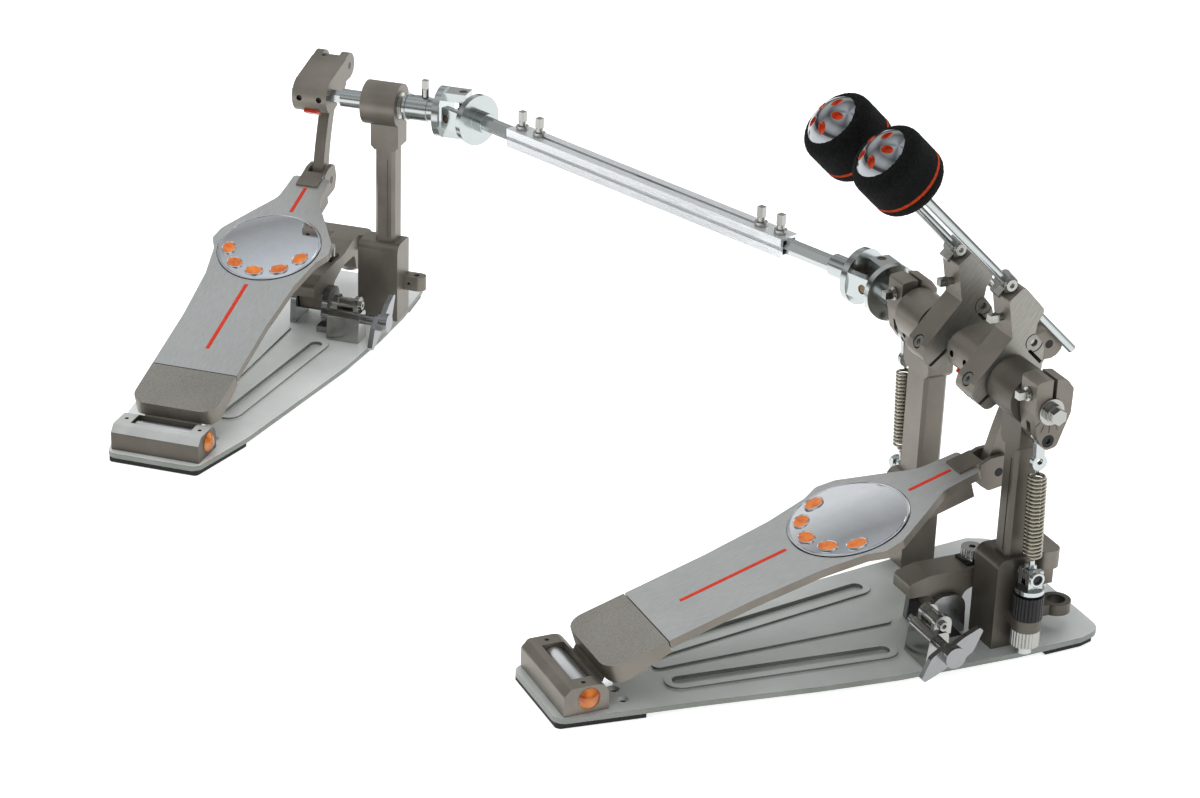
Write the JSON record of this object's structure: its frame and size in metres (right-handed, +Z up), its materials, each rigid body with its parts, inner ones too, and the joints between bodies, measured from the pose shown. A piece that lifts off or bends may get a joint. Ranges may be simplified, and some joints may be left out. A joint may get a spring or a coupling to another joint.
{
  "type": "double bass drum pedal",
  "caption": "Double bass drum pedal: main pedal with two sprung beaters, a second pedal beside it and a universal-jointed driveshaft linking its footboard to the left beater.",
  "frame": {"origin": "on the floor at the middle of the main pedal's toe pad, on its footboard's centreline", "axes": "+X to the player's right along the main axle, +Y towards the drum, +Z up"},
  "size_m": [0.8518, 0.5586, 0.3772],
  "materials": {
    "satin_alloy": "satin anodised",
    "brushed_alloy": "brushed",
    "pewter": "satin pewter anodised",
    "polished_alloy": "bright anodised",
    "chrome_steel": "polished",
    "bright_steel": "machined",
    "spring_steel": "nickel plated",
    "black_rubber": "matte",
    "orange_gloss": "gloss",
    "black_felt": "felt",
    "bronze": "satin"
  },
  "bodies": {
    "frame": {"main_base": "satin_alloy", "slave_base": "satin_alloy", "rubber_pads": "black_rubber", "main_heel_block": "pewter", "slave_heel_block": "pewter", "hinge_pins": "chrome_steel", "hinge_caps": "orange_gloss", "right_post": "pewter", "left_post": "pewter", "slave_post": "pewter", "post_bearings": "bright_steel", "clamp_bases": "chrome_steel", "tension_rods": "chrome_steel", "tension_nuts": "bright_steel"},
    "main_board": {"main_board": "brushed_alloy", "main_heel_plate": "brushed_alloy", "main_disc": "chrome_steel", "main_clevis": "pewter"},
    "main_link": {"main_link": "pewter"},
    "main_axle": {"main_cam": "pewter", "main_axle": "chrome_steel", "right_holder": "pewter", "right_rocker": "pewter", "right_fasteners": "chrome_steel"},
    "right_beater": {"right_beater_rod": "chrome_steel", "right_felt": "black_felt", "right_dome": "chrome_steel"},
    "right_spring_rod": {"right_spring_eye": "chrome_steel", "right_spring": "spring_steel"},
    "right_swivel_link": {"right_swivel": "chrome_steel"},
    "left_axle": {"left_axle": "chrome_steel", "left_holder": "pewter", "left_rocker": "pewter", "left_fasteners": "chrome_steel"},
    "left_beater": {"left_beater_rod": "chrome_steel", "left_felt": "black_felt", "left_dome": "chrome_steel"},
    "left_spring_rod": {"left_spring_eye": "chrome_steel", "left_spring": "spring_steel"},
    "left_swivel_link": {"left_swivel": "chrome_steel"},
    "main_cross": {"main_cross": "bronze"},
    "slave_cross": {"slave_cross": "bronze"},
    "driveshaft": {"shaft_channel": "polished_alloy", "shaft_rods": "chrome_steel", "shaft_fasteners": "chrome_steel"},
    "slave_axle": {"slave_cam": "pewter", "slave_axle": "chrome_steel", "slave_fasteners": "chrome_steel"},
    "slave_board": {"slave_board": "brushed_alloy", "slave_heel_plate": "brushed_alloy", "slave_disc": "chrome_steel", "slave_clevis": "pewter"},
    "slave_link": {"slave_link": "pewter"},
    "main_lever": {"main_clamp_lever": "pewter", "main_jaw_bolt": "chrome_steel"},
    "slave_lever": {"slave_clamp_lever": "pewter", "slave_jaw_bolt": "chrome_steel"},
    "main_wing": {"main_wing_bolt": "chrome_steel"},
    "slave_wing": {"slave_wing_bolt": "chrome_steel"}
  },
  "joints": [
    {"name": "main_swing", "type": "hinge", "parent": "frame", "child": "main_axle", "pos_m": [0, -0.044, 0.193], "axis": [1, 0, 0], "range_deg": [-36, 3], "stiffness_Nm_per_rad": 3, "springref_deg": 1.15},
    {"name": "main_board_tilt", "type": "hinge", "parent": "frame", "child": "main_board", "pos_m": [0, -0.3482, 0.0185], "axis": [1, 0, 0], "range_deg": [-6, 1]},
    {"name": "main_link_turn", "type": "hinge", "parent": "main_axle", "child": "main_link", "pos_m": [0, -0.00502, 0.20696], "axis": [1, 0, 0], "range_deg": [-4, 42]},
    {"name": "right_spring_lean", "type": "hinge", "parent": "frame", "child": "right_spring_rod", "pos_m": [0.0685, -0.04, 0.067], "axis": [1, 0, 0], "range_deg": [-1, 8]},
    {"name": "right_swivel_rise", "type": "slide", "parent": "right_spring_rod", "child": "right_swivel_link", "axis": [0, -0.0383, 0.9993], "range_m": [-0.001, 0.006], "deforming": ["right_spring"]},
    {"name": "slave_swing", "type": "hinge", "parent": "frame", "child": "slave_axle", "pos_m": [-0.6673, -0.2876, 0.193], "axis": [0.6635, 0.7481, 0], "range_deg": [-36, 3], "stiffness_Nm_per_rad": 3, "springref_deg": 1.15},
    {"name": "slave_board_tilt", "type": "hinge", "parent": "frame", "child": "slave_board", "pos_m": [-0.43971, -0.48945, 0.0185], "axis": [0.6635, 0.7481, 0], "range_deg": [-6, 1]},
    {"name": "slave_link_turn", "type": "hinge", "parent": "slave_axle", "child": "slave_link", "pos_m": [-0.69646, -0.26174, 0.20696], "axis": [0.6635, 0.7481, 0], "range_deg": [-4, 42]},
    {"name": "slave_cross_tilt", "type": "hinge", "parent": "slave_axle", "child": "slave_cross", "pos_m": [-0.58197, -0.19139, 0.193], "axis": [0, 0, 1], "range_deg": [-1, 5]},
    {"name": "driveshaft_spin", "type": "hinge", "parent": "frame", "child": "driveshaft", "pos_m": [-0.58197, -0.19139, 0.193], "axis": [0.946, 0.3241, 0], "range_deg": [-34, 4]},
    {"name": "left_swing", "type": "hinge", "parent": "frame", "child": "left_axle", "pos_m": [0, -0.044, 0.193], "axis": [1, 0, 0], "range_deg": [-35, 4]},
    {"name": "main_cross_tilt", "type": "hinge", "parent": "left_axle", "child": "main_cross", "pos_m": [-0.1518, -0.044, 0.193], "axis": [0, 0, 1], "range_deg": [-4, 1]},
    {"name": "left_spring_lean", "type": "hinge", "parent": "frame", "child": "left_spring_rod", "pos_m": [-0.1095, -0.04, 0.067], "axis": [1, 0, 0], "range_deg": [-1, 8]},
    {"name": "left_swivel_rise", "type": "slide", "parent": "left_spring_rod", "child": "left_swivel_link", "axis": [0, -0.0383, 0.9993], "range_m": [-0.001, 0.006], "deforming": ["left_spring"]},
    {"name": "right_beater_slide", "type": "slide", "parent": "main_axle", "child": "right_beater", "axis": [0, -0.7071, 0.7071], "range_m": [-0.025, 0.012]},
    {"name": "left_beater_slide", "type": "slide", "parent": "left_axle", "child": "left_beater", "axis": [0, -0.7071, 0.7071], "range_m": [-0.025, 0.012]},
    {"name": "main_clamp_tilt", "type": "hinge", "parent": "frame", "child": "main_lever", "pos_m": [0, -0.076, 0.024], "axis": [1, 0, 0], "range_deg": [-6, 1]},
    {"name": "slave_clamp_tilt", "type": "hinge", "parent": "frame", "child": "slave_lever", "pos_m": [-0.64336, -0.30883, 0.024], "axis": [0.6635, 0.7481, 0], "range_deg": [-6, 1]},
    {"name": "main_wing_turn", "type": "hinge", "parent": "frame", "child": "main_wing", "pos_m": [0, -0.106, 0.027], "axis": [1, 0, 0], "range_deg": [-180, 180]},
    {"name": "slave_wing_turn", "type": "hinge", "parent": "frame", "child": "slave_wing", "pos_m": [-0.62091, -0.32874, 0.027], "axis": [0.6635, 0.7481, 0], "range_deg": [-180, 180]}
  ],
  "couplings": [
    {"joint": "main_board_tilt", "follows": "main_swing", "ratio": 0.13659},
    {"joint": "main_link_turn", "follows": "main_swing", "ratio": -1.0913},
    {"joint": "right_spring_lean", "follows": "main_swing", "ratio": -0.18741},
    {"joint": "right_swivel_rise", "follows": "main_swing", "m_per_rad": -0.007208},
    {"joint": "slave_board_tilt", "follows": "slave_swing", "ratio": 0.13659},
    {"joint": "slave_link_turn", "follows": "slave_swing", "ratio": -1.0913},
    {"joint": "slave_cross_tilt", "follows": "slave_swing", "ratio": -0.10587},
    {"joint": "driveshaft_spin", "follows": "slave_swing", "ratio": 0.88777},
    {"joint": "left_swing", "follows": "slave_swing", "ratio": 0.93039},
    {"joint": "main_cross_tilt", "follows": "slave_swing", "ratio": 0.069069},
    {"joint": "left_spring_lean", "follows": "slave_swing", "ratio": -0.17436},
    {"joint": "left_swivel_rise", "follows": "slave_swing", "m_per_rad": -0.006707}
  ]
}
